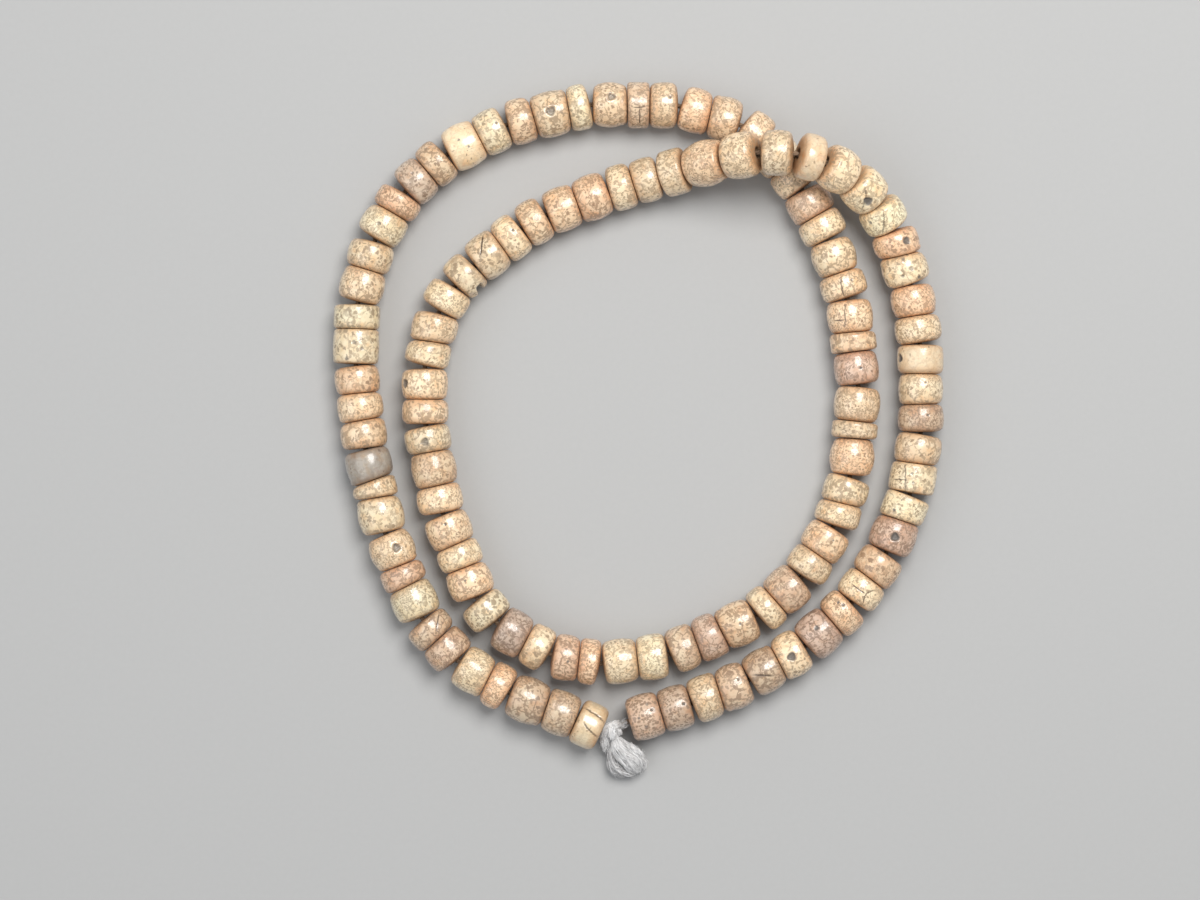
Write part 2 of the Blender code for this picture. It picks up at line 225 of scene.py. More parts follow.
# How the cut between two beads of one group leans, in degrees: (bead before it: lean)
LEANS = {
    2: -3, 4: -5, 6: -3, 8: -3, 9: 2, 11: 4, 12: -7, 14: -4, 15: 1, 17: 0, 19: 2, 21: -2, 23: 1, 25: -1,
    27: -3, 28: 3, 30: -2, 31: 0, 33: -5, 36: 2, 38: -3, 40: -1, 42: 2, 43: 0, 45: 1, 46: -1, 48: -4, 50: 2,
    52: -1, 54: -3, 55: 4, 57: 1, 59: -4, 61: -3, 64: 1, 65: -2, 67: -2, 68: 1, 70: 1, 72: -6, 76: 2, 79: 1,
    81: -2, 91: 6, 93: 1, 95: 1, 96: -1, 98: -2, 100: -3, 102: 3, 104: 2, 106: 4, 108: 5, 110: -1,
}
# Radius over which a bead's side bulges; the default is drawn from 6 to 9.5 mm, and a few are rounder or straighter
BULGE = {1: 17, 5: 9, 13: 11, 17: 26, 18: 40, 25: 8.5, 28: 10, 31: 40, 43: 60, 46: 60, 57: 9, 58: 9.5, 62: 9, 63: 10,
         74: 9, 76: 9, 83: 22, 86: 10, 89: 10, 95: 18, 99: 24, 100: 22, 101: 9, 105: 9.5, 110: 9, 111: 9}

BORE = 1.10


def smooth(a, b, x):
    t = np.clip((x - a) / (b - a), 0.0, 1.0)
    return t * t * (3 - 2 * t)


def closed_grid_mesh(name, points):
    """Mesh of a grid of points (rows, columns, 3) that closes both ways."""
    rows, cols = points.shape[:2]
    index = np.arange(rows * cols).reshape(rows, cols)
    nxt = np.roll(index, -1, axis=0)
    quads = np.stack([index, np.roll(index, -1, axis=1), np.roll(nxt, -1, axis=1), nxt], -1).reshape(-1, 4)
    mesh = bpy.data.meshes.new(name)
    mesh.from_pydata(points.reshape(-1, 3).tolist(), [], quads.tolist())
    mesh.polygons.foreach_set("use_smooth", np.ones(len(quads), bool))
    mesh.update()
    return mesh


def add_colour(mesh, name, values):
    layer = mesh.attributes.new(name, "FLOAT_COLOR", "POINT")
    layer.data.foreach_set("color", np.ascontiguousarray(values, np.float32).ravel())


def add_vector(mesh, name, values):
    layer = mesh.attributes.new(name, "FLOAT_VECTOR", "POINT")
    layer.data.foreach_set("vector", np.ascontiguousarray(values, np.float32).ravel())


def place(name, mesh, body, slot, mat, *nodes):
    obj = bpy.data.objects.new(name, mesh)
    bpy.context.scene.collection.objects.link(obj)
    mesh.materials.append(mat)
    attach(obj, body)
    if nodes:
        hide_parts(*nodes)
    return obj


def distance_to_line(x, y, line):
    """Distance from points to a polyline, and its share tapering to 0 at both ends."""
    best = np.full(x.shape, 1e9)
    taper = np.zeros(x.shape)
    total = len(line) - 1
    for k in range(total):
        a, b = np.array(line[k]), np.array(line[k + 1])
        d = b - a
        t = np.clip(((x - a[0]) * d[0] + (y - a[1]) * d[1]) / (d @ d), 0, 1)
        r = np.hypot(x - a[0] - t * d[0], y - a[1] - t * d[1])
        s = (k + t) / total
        better = r < best
        best = np.where(better, r, best)
        taper = np.where(better, np.minimum(1, 4.5 * np.minimum(s, 1 - s) + 0.15), taper)
    return best, taper


def bead_mesh(name, number, start, end, cone0, cone1, lean0, lean1):
    """One seed bead in its group's axis frame, lengths in mm: returns points (rows, cols, 3) and its attributes.

    start and end are where its two end faces meet the axis. A cone leaves the neighbour room to turn,
    and a lean tilts a face shared with the next bead of the same group."""
    rng = np.random.RandomState(4000 + number)
    size = end - start
    radius = 4.71 if number % 7 not in (2, 5) else 4.60
    radius -= rng.uniform(0.0, 0.05)
    bulge = BULGE.get(number, rng.uniform(6.0, 9.5))
    featured = number in PITS or number in CRACKS or number == 75
    cols = 84 if featured else 60
    side_rows = 34 if featured else 18
    gather = 0.45 if featured else 0.2
    middle = 0.0
    if number in (71,):
        middle = 0.8
    if number in (95, 75):
        middle = -0.9
    turn = np.linspace(-math.pi, math.pi, cols, endpoint=False)
    angle = (middle + turn - gather * np.sin(turn))[None, :]
    sin, cos = np.sin(angle), np.cos(angle)

    blunt = 0.60 if bulge > 21 else 1.0
    sa0, sa1 = rng.uniform(1.05, 1.55, 2) * blunt          # shoulder, along the axis
    er0, er1 = rng.uniform(1.05, 1.55, 2) * blunt          # shoulder, across it
    sa0, sa1 = sa0 * (1 - min(0.45, 2.6 * cone0)), sa1 * (1 - min(0.45, 2.6 * cone1))
    reach = min(1.0, 0.29 * size / max(sa0, sa1))
    sa0, sa1 = sa0 * reach, sa1 * reach
    half = size / 2

    def drop(x):
        return np.minimum((x - start - half) ** 2 / (2 * bulge), 0.60)

    r0, r1 = radius - drop(start + sa0), radius - drop(end - sa1)

    flat0, flat1 = r0 - er0, r1 - er1

    def near(r):
        spare = 0.5 * cone0 ** 2 * er0 ** 2 / sa0
        return start + (cone0 * r if r <= flat0 else cone0 * flat0 + spare) + lean0 * r * sin

    def far(r):
        spare = 0.5 * cone1 ** 2 * er1 ** 2 / sa1
        return end - (cone1 * r if r <= flat1 else cone1 * flat1 + spare) + lean1 * r * sin

    # rim: 0 on the side, rising over the shoulders and end faces to 1 in the bore; the material paints shade between
    # the beads and a redder edge tone from it
    xs, rs, rim = [], [], []

    def row(x, r, edge):
        xs.append(np.broadcast_to(x, angle.shape).reshape(-1))
        rs.append(np.broadcast_to(r, angle.shape).reshape(-1))
        rim.append(np.full(cols, edge))

    # near face, from the bore outwards
    row(near(BORE) + 0.42, BORE, 0.9)
    row(near(BORE) + 0.24, BORE + 0.04, 0.9)
    row(near(BORE) + 0.12, BORE + 0.16, 0.85)
    for share in (0.15, 0.45, 0.75):
        r = BORE + 0.3 + (flat0 - BORE - 0.3) * share
        row(near(r) + 0.07 * (1 - share) ** 2, r, 0.8)
    for step in range(7):
        a = math.radians(90 * step / 7)
        row(near(flat0 + er0 * math.sin(a)) + sa0 * (1 - math.cos(a)), flat0 + er0 * math.sin(a), 0.75 - 0.50 * step / 7)
    # side
    for k in range(side_rows + 1):
        t = k / side_rows
        a, b = near(r0) + sa0, far(r1) - sa1
        x = a + (b - a) * t
        edge = 0.25 * (1 - min(1.0, min(t, 1 - t) * size / 1.1)) ** 1.5
        row(x, radius - drop(x), edge)
    # far shoulder and face, back to the bore
    for step in range(6, -1, -1):
        a = math.radians(90 * step / 7)
        row(far(flat1 + er1 * math.sin(a)) - sa1 * (1 - math.cos(a)), flat1 + er1 * math.sin(a), 0.75 - 0.50 * step / 7)
    for share in (0.75, 0.45, 0.15):
        r = BORE + 0.3 + (flat1 - BORE - 0.3) * share
        row(far(r) - 0.07 * (1 - share) ** 2, r, 0.8)
    row(far(BORE) - 0.12, BORE + 0.16, 0.85)
    row(far(BORE) - 0.24, BORE + 0.04, 0.9)
    row(far(BORE) - 0.42, BORE, 0.9)
    # inside the bore
    for t in (0.75, 0.5, 0.25):
        row(near(BORE) + 0.42 + (far(BORE) - near(BORE) - 0.84) * t, BORE, 1.0)

    x, r, rim = np.array(xs), np.array(rs), np.array(rim)
    angles = np.broadcast_to(angle, x.shape)
    body = smooth(2.0, 4.0, r)

    # it was turned by hand, so it is a little out of round and faintly facetted
    wave = np.zeros(x.shape)
    total = 0.0
    for k, amp in ((1, 0.6), (2, 1.0), (3, 0.8), (4, 0.45), (5, 0.3), (7, 0.2)):
        wave += amp * np.cos(k * angles + rng.uniform(0, 6.28) + rng.uniform(-0.35, 0.35) * (x - start - half))
        total += amp
    r = r - body * np.maximum(0.035 * (1 + wave / total * 2.4), 0.0) * (r / 4.6)

    # wear on the side: moon pits, eyes, cracks and one broken edge
    pit = np.zeros(x.shape)
    crack = np.zeros(x.shape)
    along = x - start - half
    out = 4.65 * angles            # arc length from the top, towards the loop's outside
    out = (out + 4.65 * math.pi) % (2 * 4.65 * math.pi) - 4.65 * math.pi
    for px, py, pr, depth, dark in PITS.get(number, []):
        pr *= 1.18 if pr > 0.6 else 1.0
        arc = 4.65 * math.asin(max(-0.99, min(0.99, py / 4.65)))
        d = np.hypot(along - px, (out - arc) * np.where(r > 3, 1.0, 9.0))
        d = d * (1 + 0.10 * np.sin(3 * np.arctan2(out - arc, along - px) + number))
        r = r - body * depth * (1 - smooth(0.45 * pr, 1.02 * pr, d))
        r = r + body * 0.03 * np.exp(-((d - 1.25 * pr) / (0.22 * pr)) ** 2) * (pr > 0.6)
        pit = np.maximum(pit, dark * (1 - smooth(0.72 * pr, 1.05 * pr, d)))
    for width, depth, line in CRACKS.get(number, []):
        arcs = [(a, 4.65 * math.asin(max(-0.99, min(0.99, b / 4.65)))) for a, b in line]
        d, taper = distance_to_line(along, out, arcs)
        w = width * (0.6 + 0.4 * taper)
        r = r - body * depth * taper * (1 - smooth(0.3 * w, 1.25 * w, d))
        crack = np.maximum(crack, taper * (1 - smooth(0.5 * w, 1.3 * w, d)))
    if number == 75:
        arc = 4.65 * -1.22
        d = np.abs(along - 0.45 - 0.12 * (out - arc)) / 0.86
        deep = smooth(-3.9, -5.6, out) * smooth(-12.5, -9.5, out)
        r = r - body * deep * 1.80 * (1 - smooth(0.35, 1.15, d))
        crack = np.maximum(crack, deep * (1 - smooth(0.3, 0.9, d)) * 0.9)
        for px in (-1.5, 2.1):
            d = np.hypot(along - px, 0.6 * (out - arc))
            r = r - body * 0.25 * (1 - smooth(0.2, 0.9, d))

    points = np.stack([x, r * np.sin(angles), r * np.cos(angles)], -1)

    # the seed's dark fibres run out from a core near the bead's middle, so marks are laid on those rays
    core = np.array((start + half, 0, 0)) + rng.uniform(-1, 1, 3) * (2.4, 1.6, 1.6)
    rays = points - core
    rays /= np.linalg.norm(rays, axis=-1, keepdims=True)
    q, _ = np.linalg.qr(rng.normal(size=(3, 3)))
    rays = rays @ q * 5.0 + rng.uniform(5, 95, 3)
    local = points - (start + half, 0, 0) + rng.uniform(5, 95, 3)
    return points, rays, local, rim, pit, crack


# ------------------------------------------------------------------ node materials
def linear(colour):
    return tuple(c / 12.92 if c <= 0.04045 else ((c + 0.055) / 1.055) ** 2.4 for c in colour)


class Nodes:
    """Short names for the shader nodes used below."""

    def __init__(self, name):
        self.mat = bpy.data.materials.new(name)
        self.mat.use_nodes = True
        self.tree = self.mat.node_tree
        self.shader = self.tree.nodes["Principled BSDF"]

    def new(self, kind, **settings):
        node = self.tree.nodes.new(kind)
        for key, value in settings.items():
            setattr(node, key, value)
        return node

    def put(self, socket, value):
        if isinstance(value, bpy.types.NodeSocket):
            self.tree.links.new(value, socket)
        elif hasattr(socket.default_value, "__len__") and hasattr(value, "__len__") and len(value) == 3 and len(socket.default_value) == 4:
            socket.default_value = (*value, 1.0)
        elif hasattr(socket.default_value, "__len__") and not hasattr(value, "__len__"):
            socket.default_value = [value] * len(socket.default_value)
        else:
            socket.default_value = value

    def attribute(self, name, output="Color"):
        return self.new("ShaderNodeAttribute", attribute_name=name).outputs[output]

    def split(self, colour):
        node = self.new("ShaderNodeSeparateColor")
        self.put(node.inputs[0], colour)
        return node.outputs

    def math(self, operation, a, b=0.0, c=0.0, clamp=False):
        node = self.new("ShaderNodeMath", operation=operation, use_clamp=clamp)
        for socket, value in zip(node.inputs, (a, b, c)):
            self.put(socket, value)
        return node.outputs[0]

    def vector(self, operation, a, b=(0, 0, 0)):
        node = self.new("ShaderNodeVectorMath", operation=operation)
        self.put(node.inputs[0], a)
        if operation == "SCALE":
            self.put(node.inputs["Scale"], b)
        else:
            self.put(node.inputs[1], b)
        return node.outputs[0]

    def ramp(self, value, a, b, c=0.0, d=1.0):
        node = self.new("ShaderNodeMapRange", interpolation_type="SMOOTHSTEP")
        for socket, v in zip(node.inputs[:5], (value, a, b, c, d)):
            self.put(socket, v)
        return node.outputs[0]

    def noise(self, vector, scale, detail=2.0, rough=0.5, distortion=0.0, output=0):
        node = self.new("ShaderNodeTexNoise")
        for key, value in (("Vector", vector), ("Scale", scale), ("Detail", detail), ("Roughness", rough), ("Distortion", distortion)):
            self.put(node.inputs[key], value)
        return node.outputs[output]

    def voronoi(self, vector, scale, feature="F1", randomness=1.0):
        node = self.new("ShaderNodeTexVoronoi", feature=feature)
        for key, value in (("Vector", vector), ("Scale", scale), ("Randomness", randomness)):
            self.put(node.inputs[key], value)
        return node.outputs

    def mix(self, share, a, b, blend="MIX"):
        node = self.new("ShaderNodeMix", data_type="RGBA", blend_type=blend)
        self.put(node.inputs[0], share)
        self.put(node.inputs[6], a)
        self.put(node.inputs[7], b)
        return node.outputs[2]

    def bump(self, height, strength, distance, normal=None):
        node = self.new("ShaderNodeBump")
        self.put(node.inputs["Strength"], strength)
        self.put(node.inputs["Distance"], distance)
        self.put(node.inputs["Height"], height)
        if normal is not None:
            self.put(node.inputs["Normal"], normal)
        return node.outputs[0]

    def finish(self, **inputs):
        for key, value in inputs.items():
            self.put(self.shader.inputs[key.replace("_", " ")], value)
        return self.mat


def seed_material():
    n = Nodes("polished_seed")
    ray = n.attribute("ray", "Vector")
    local = n.attribute("local", "Vector")
    style = n.attribute("style")
    keep, size, dash = n.split(style)[:3]
    cell = n.attribute("style", "Alpha")
    # rim drives painted shade on the end faces and in the bore; pit and crack are the seed's own marks
    rim, pit, crack = n.split(n.attribute("wear_and_shade"))[:3]
    light, deep = n.attribute("light"), n.attribute("deep")

    # warped coordinates, so nothing is a perfect circle
    drift = n.vector("SUBTRACT", n.noise(ray, 0.75, 2.0, 0.5, output=1), (0.5, 0.5, 0.5))
    bent = n.vector("ADD", ray, n.vector("SCALE", drift, 1.3))
    drift2 = n.vector("SUBTRACT", n.noise(ray, 0.42, 3.0, 0.55, output=1), (0.5, 0.5, 0.5))
    bent2 = n.vector("ADD", ray, n.vector("SCALE", drift2, 3.2))
    ragged = n.math("MULTIPLY", n.math("SUBTRACT", n.noise(ray, 2.9, 2.5, 0.58), 0.5), 0.50)

    # dots: ends of the dark fibres
    spots = n.voronoi(bent, 1.26, "F1", 0.95)
    lot = n.split(spots["Color"])
    reach = n.math("MULTIPLY", n.math("MULTIPLY_ADD", lot[1], 0.17, 0.26), size)
    inside = n.math("SUBTRACT", n.math("ADD", spots["Distance"], ragged), reach)
    kept = n.ramp(n.math("SUBTRACT", lot[0], keep), 0.03, -0.03)
    dot = n.math("MULTIPLY", n.ramp(inside, 0.03, -0.055), kept)
    shade = n.math("MULTIPLY_ADD", lot[2], 0.34, 0.76)
    dot = n.math("MULTIPLY", dot, shade)
    halo = n.math("MULTIPLY", n.math("MULTIPLY", n.ramp(inside, 0.20, -0.03), kept), 0.24)

    # small specks between them
    specks = n.voronoi(bent, 1.9, "F1", 1.0)
    speck_lot = n.split(specks["Color"])
    speck = n.ramp(n.math("ADD", specks["Distance"], ragged), 0.50, 0.34)
    speck = n.math("MULTIPLY", speck, n.ramp(speck_lot[0], 0.66, 0.74))
    speck = n.math("MULTIPLY", speck, n.math("MULTIPLY", keep, 0.85))

    # dashes: fibres cut lengthwise
    stretched = n.vector("MULTIPLY", bent, (0.50, 1.20, 0.80))
    strokes = n.voronoi(stretched, 1.02, "F1", 0.95)
    stroke_lot = n.split(strokes["Color"])
    stroke = n.ramp(n.math("ADD", strokes["Distance"], ragged), 0.38, 0.30)
    stroke = n.math("MULTIPLY", stroke, n.ramp(stroke_lot[0], 0.35, 0.45))
    stroke = n.math("MULTIPLY", n.math("MULTIPLY", stroke, dash), 0.9)

    # broken outlines of scale-like cells
    edges = n.voronoi(bent2, 0.52, "DISTANCE_TO_EDGE", 1.0)
    line = n.ramp(n.math("ADD", edges["Distance"], n.math("MULTIPLY", ragged, 0.20)), 0.095, 0.050)
    gaps = n.ramp(n.noise(ray, 0.9, 2.0, 0.6), 0.37, 0.50)
    line = n.math("MULTIPLY", n.math("MULTIPLY", line, gaps), cell)

    marks = n.math("MAXIMUM", n.math("MAXIMUM", dot, stroke), n.math("MAXIMUM", n.math("MULTIPLY", line, 0.85), speck))
    marks = n.math("MAXIMUM", marks, halo)

    # ground colour: clouds, faint growth bands and fine grain
    clouds = n.ramp(n.noise(local, 0.30, 3.0, 0.6, 0.6), 0.36, 0.66)
    base = n.mix(clouds, light, deep)
    veins = n.ramp(n.noise(n.vector("MULTIPLY", ray, (0.5, 1.6, 1.0)), 1.1, 4.0, 0.65), 0.52, 0.74)
    base = n.mix(n.math("MULTIPLY", veins, 0.42), base, n.mix(1.0, base, (0.82, 0.68, 0.54), "MULTIPLY"))
    ember = n.ramp(n.noise(local, 0.42, 2.0, 0.5), 0.54, 0.70)
    base = n.mix(n.math("MULTIPLY", ember, 0.60), base, n.mix(1.0, base, (1.0, 0.83, 0.68), "MULTIPLY"))
    plum = n.ramp(n.noise(n.vector("ADD", local, (31.0, 7.0, 3.0)), 0.62, 2.0, 0.5), 0.58, 0.72)
    base = n.mix(n.math("MULTIPLY", plum, 0.40), base, n.mix(1.0, base, (0.84, 0.70, 0.70), "MULTIPLY"))
    pale = n.ramp(n.noise(ray, 1.7, 3.0, 0.6), 0.56, 0.72)
    base = n.mix(n.math("MULTIPLY", pale, 0.35), base, n.mix(0.55, base, linear((0.97, 0.90, 0.74))))
    grain = n.math("MULTIPLY_ADD", n.noise(local, 9.0, 3.0, 0.7), 0.22, 0.89)
    grain_colour = n.new("ShaderNodeCombineColor")
    for socket in grain_colour.inputs[:3]:
        n.put(socket, grain)
    base = n.mix(1.0, base, grain_colour.outputs[0], "MULTIPLY")

    # edges are darker and redder: partly the seed's own redder edge tone, partly painted shade where neighbouring beads
    # meet; painted shade also darkens the end faces towards the bore, near black inside it
    tint = n.mix(1.0, base, linear((0.84, 0.70, 0.58)), "MULTIPLY")
    edge_wear_and_shade = n.math("MULTIPLY", rim, n.math("MULTIPLY_ADD", n.noise(local, 0.8, 2.0), 0.9, 0.55), clamp=True)
    base = n.mix(edge_wear_and_shade, base, tint)
    # painted shade: the end faces darken towards the bore, and the bore is near black
    base = n.mix(n.ramp(rim, 0.70, 1.0), base, linear((0.24, 0.16, 0.11)))

    umber = n.mix(n.noise(ray, 1.3, 1.0), linear((0.44, 0.325, 0.235)), linear((0.35, 0.275, 0.215)))
    umber = n.mix(0.35, umber, deep)
    colour = n.mix(marks, base, umber)
    colour = n.mix(n.math("MULTIPLY", crack, 0.9), colour, linear((0.20, 0.12, 0.07)))
    pit_ground = n.mix(n.noise(local, 2.2, 3.0, 0.7), linear((0.26, 0.235, 0.215)), linear((0.47, 0.45, 0.43)))
    colour = n.mix(pit, colour, pit_ground)

    dull = n.math("MULTIPLY_ADD", marks, 0.10, n.math("MULTIPLY_ADD", n.noise(local, 1.4, 4.0, 0.7), 0.16, 0.24))
    dull = n.math("ADD", dull, n.math("MULTIPLY", n.math("ADD", pit, rim), 0.25), clamp=True)
    height = n.math("MULTIPLY_ADD", marks, -0.6, n.math("MULTIPLY", n.noise(local, 2.6, 4.0, 0.6), 0.5))
    normal = n.bump(height, 0.22, 0.00006)
    polish = n.bump(n.noise(local, 0.9, 2.0, 0.5), 0.25, 0.0001)
    coat = n.math("MULTIPLY_ADD", n.math("MAXIMUM", pit, n.ramp(rim, 0.35, 0.8)), -0.6, 0.75, clamp=True)
    return n.finish(Base_Color=colour, Roughness=dull, Normal=normal, IOR=1.52,
                    Coat_Weight=coat, Coat_Roughness=0.13, Coat_IOR=1.5, Coat_Normal=polish)


def thread_material(name, light, dark, roughness, sheen):
    """Silky thread: tone follows each strand, with fine fibre streaks along it."""
    n = Nodes(name)
    tone, along, around = n.split(n.attribute("strand"))[:3]
    fibre = n.new("ShaderNodeCombineXYZ")
    n.put(fibre.inputs[0], n.math("MULTIPLY", along, 1.6))
    n.put(fibre.inputs[1], n.math("MULTIPLY", around, 14.0))
    n.put(fibre.inputs[2], n.math("MULTIPLY", tone, 40.0))
    streak = n.noise(fibre.outputs[0], 1.5, 4.0, 0.65)
    share = n.math("ADD", n.math("MULTIPLY", tone, 0.8), n.math("MULTIPLY_ADD", streak, 0.7, -0.28), clamp=True)
    colour = n.mix(share, linear(dark), linear(light))
    soil = n.ramp(n.noise(n.attribute("local", "Vector"), 0.55, 3.0, 0.6), 0.5, 0.8)
    colour = n.mix(n.math("MULTIPLY", soil, 0.35), colour, linear((dark[0] * 0.9, dark[1] * 0.86, dark[2] * 0.8)))
    normal = n.bump(streak, 0.5, 0.00005)
    return n.finish(Base_Color=colour, Roughness=roughness, Normal=normal, IOR=1.5,
                    Sheen_Weight=sheen, Sheen_Roughness=0.4)


SEED = seed_material()
SILK = thread_material("silver_silk_thread", (0.985, 0.982, 0.980), (0.65, 0.638, 0.634), 0.34, 0.60)
CORD = thread_material("twisted_cord_thread", (0.60, 0.49, 0.39), (0.42, 0.33, 0.26), 0.75, 0.10)

# ------------------------------------------------------------------ the beads
ways = [b - a for a, b in zip(ENDS[:-1], ENDS[1:])]
lengths = [float(np.linalg.norm(w)) for w in ways]
ways = [w / length for w, length in zip(ways, lengths)]
cones = [0.0]
for a, b in zip(ways[:-1], ways[1:]):
    cones.append(math.tan(math.acos(float(np.clip(a @ b, -1, 1))) / 2))
cones.append(0.0)
AIR = 0.030       # least air between two groups that turn separately, each side
JOIN = 0.055      # half the gap between beads of one group

first = 0
for k, count in enumerate(GROUPS):
    side, up = cross_frame(ways[k])
    turn_to_row = np.stack([ways[k], side, up])
    origin = ENDS[k] + SHIFT
    margin0 = AIR if k else 0.17
    margin1 = AIR if k < len(GROUPS) - 1 else 0.17
    a, b = margin0, lengths[k] - margin1
    sizes = BEAD_LENGTHS[first:first + count]
    # the cones take room from the end beads, so shares are of what is left at full radius
    room = (b - a) - 4.2 * (cones[k] + cones[k + 1])
    cuts = [a]
    gone = 4.2 * cones[k]
    for size in sizes[:-1]:
        gone += room * size / sum(sizes)
        cuts.append(a + gone)
    cuts.append(b)
    for j in range(count):
        number = first + j + 1
        begin = cuts[j] + (JOIN if j else 0.0)
        stop = cuts[j + 1] - (JOIN if j < count - 1 else 0.0)
        lean0 = math.tan(math.radians(LEANS.get(number - 1, 0))) if j else 0.0
        lean1 = math.tan(math.radians(LEANS.get(number, 0))) if j < count - 1 else 0.0
        name = "seed_%03d" % number
        points, rays, local, rim, pit, crack = bead_mesh(
            name, number, begin, stop,
            cones[k] if j == 0 else 0.0, cones[k + 1] if j == count - 1 else 0.0, lean0, lean1)
        mesh = closed_grid_mesh(name, (points @ turn_to_row + origin) * MM)
        size = points.shape[0] * points.shape[1]
        light, deep = PALETTE[COLOURS[number - 1]]
        rng = np.random.RandomState(9000 + number)
        shift = 1 + rng.uniform(-0.05, 0.05)
        warm = rng.uniform(-0.02, 0.02)
        light = linear((min(1, light[0] * shift), light[1] * shift + warm, light[2] * shift + warm))
        deep = linear((deep[0] * shift, deep[1] * shift + warm, deep[2] * shift + warm))
        style = STYLES[MARKS[number - 1]]
        add_vector(mesh, "ray", rays.reshape(-1, 3))
        add_vector(mesh, "local", local.reshape(-1, 3))
        add_colour(mesh, "light", np.tile((*light, 1.0), (size, 1)))
        add_colour(mesh, "deep", np.tile((*deep, 1.0), (size, 1)))
        add_colour(mesh, "style", np.tile(style, (size, 1)))
        # this attribute carries the rim mask for painted shade at the ends and in the bore (with a redder edge tone),
        # the pits and the cracks
        add_colour(mesh, "wear_and_shade", np.stack([rim.ravel(), pit.ravel(), crack.ravel(), np.ones(size)], 1))
        place(name, mesh, NAMES[k], "seed", SEED, NAMES[k])
    first += count


# ------------------------------------------------------------------ tubes of thread
class Tubes:
    """Many closed tubes gathered into one mesh, each with its own tone."""

    def __init__(self):
        self.points, self.faces, self.tone, self.count = [], [], [], 0

    def add(self, path, radii, sides=6, tone=0.8, flat=1.0, local_scale=1.0):
        path = np.asarray(path, float)
        n = len(path)
        radii = np.broadcast_to(np.asarray(radii, float), (n,))
        tangent = np.gradient(path, axis=0)
        tangent /= np.linalg.norm(tangent, axis=1, keepdims=True) + 1e-12
        normal = np.zeros_like(path)
        start = np.cross(tangent[0], (0.3, 0.2, 0.93))
        if np.linalg.norm(start) < 0.05:
            start = np.cross(tangent[0], (1, 0, 0))
        normal[0] = unit(start)
        for k in range(1, n):
            v = normal[k - 1] - tangent[k] * (normal[k - 1] @ tangent[k])
            normal[k] = v / (np.linalg.norm(v) + 1e-12)
        other = np.cross(tangent, normal)
        angles = np.arange(sides) * 2 * math.pi / sides
        ring = (path[:, None] + radii[:, None, None] * (
            np.cos(angles)[None, :, None] * normal[:, None] + flat * np.sin(angles)[None, :, None] * other[:, None]))
        base = self.count
        self.points.append(ring.reshape(-1, 3))
        index = base + np.arange(n * sides).reshape(n, sides)
        quads = np.stack([index[:-1], np.roll(index, -1, 1)[:-1], np.roll(index, -1, 1)[1:], index[1:]], -1).reshape(-1, 4)
        self.faces += quads.tolist()
        self.faces.append(index[0][::-1].tolist())
        self.faces.append(index[-1].tolist())
        run = np.r_[0, np.cumsum(np.linalg.norm(np.diff(path, axis=0), axis=1))]
        data = np.zeros((n, sides, 4))
        data[..., 0] = tone if np.isscalar(tone) else np.asarray(tone)[:, None]
        data[..., 1] = run[:, None]
        data[..., 2] = (np.abs(np.arange(sides) / sides - 0.5) * 2)[None, :]
        data[..., 3] = 1
        self.tone.append(data.reshape(-1, 4))
        self.count += n * sides

    def mesh(self, name):
        points = np.concatenate(self.points)
        mesh = bpy.data.meshes.new(name)
        mesh.from_pydata((points * MM).tolist(), [], self.faces)
        mesh.polygons.foreach_set("use_smooth", np.ones(len(mesh.polygons), bool))
        mesh.update()
        add_colour(mesh, "strand", np.concatenate(self.tone))
        add_vector(mesh, "local", points)
        return mesh


def curve_through(points, count):
    """Smooth curve through a few points (Catmull-Rom), evenly sampled by share."""
    p = np.asarray(points, float)
    p = np.vstack([2 * p[0] - p[1], p, 2 * p[-1] - p[-2]])
    spans = len(p) - 3
    out = []
    for u in np.linspace(0, spans, count):
        k = min(int(u), spans - 1)
        t = u - k
        a, b, c, d = p[k], p[k + 1], p[k + 2], p[k + 3]
        out.append(0.5 * (2 * b + (c - a) * t + (2 * a - 5 * b + 4 * c - d) * t * t + (3 * b - a - 3 * c + d) * t ** 3))
    return np.array(out)


# ------------------------------------------------------------------ cord: three plies laid together
knot = KNOT_CENTRE + SHIFT
route = [knot + 0.55 * unit(ENDS[0] + SHIFT - knot)] + [e + SHIFT for e in ENDS] + [knot + 0.55 * unit(ENDS[-1] + SHIFT - knot)]
route = np.array(route)
run = np.r_[0, np.cumsum(np.linalg.norm(np.diff(route, axis=0), axis=1))]
step = 0.6
marks = np.arange(0, run[-1], step)
line = np.stack([np.interp(marks, run, route[:, c]) for c in range(3)], 1)
for _ in range(3):      # eases the corners, well inside the bores
    line[1:-1] = 0.25 * line[:-2] + 0.5 * line[1:-1] + 0.25 * line[2:]
tangent = np.gradient(line, axis=0)
tangent /= np.linalg.norm(tangent, axis=1, keepdims=True)
upward = np.array((0, 0, 1.0)) - tangent * tangent[:, 2:]
upward /= np.linalg.norm(upward, axis=1, keepdims=True)
sideways = np.cross(upward, tangent)
tubes = Tubes()
for ply in range(3):
    phase = 2 * math.pi * (marks / 4.2 + ply / 3)
    path = line + 0.25 * (np.cos(phase)[:, None] * upward + np.sin(phase)[:, None] * sideways)
    tubes.add(path, 0.285, 6, 0.35 + 0.2 * ply + 0.1 * np.sin(marks * 0.37 + ply))
place("cord_plies", tubes.mesh("cord_plies"), "cord_and_knot", "cord", CORD, "cord")

# ------------------------------------------------------------------ knot and tuft: soft many-thread yarn
up = np.array((0, 0, 1.0))


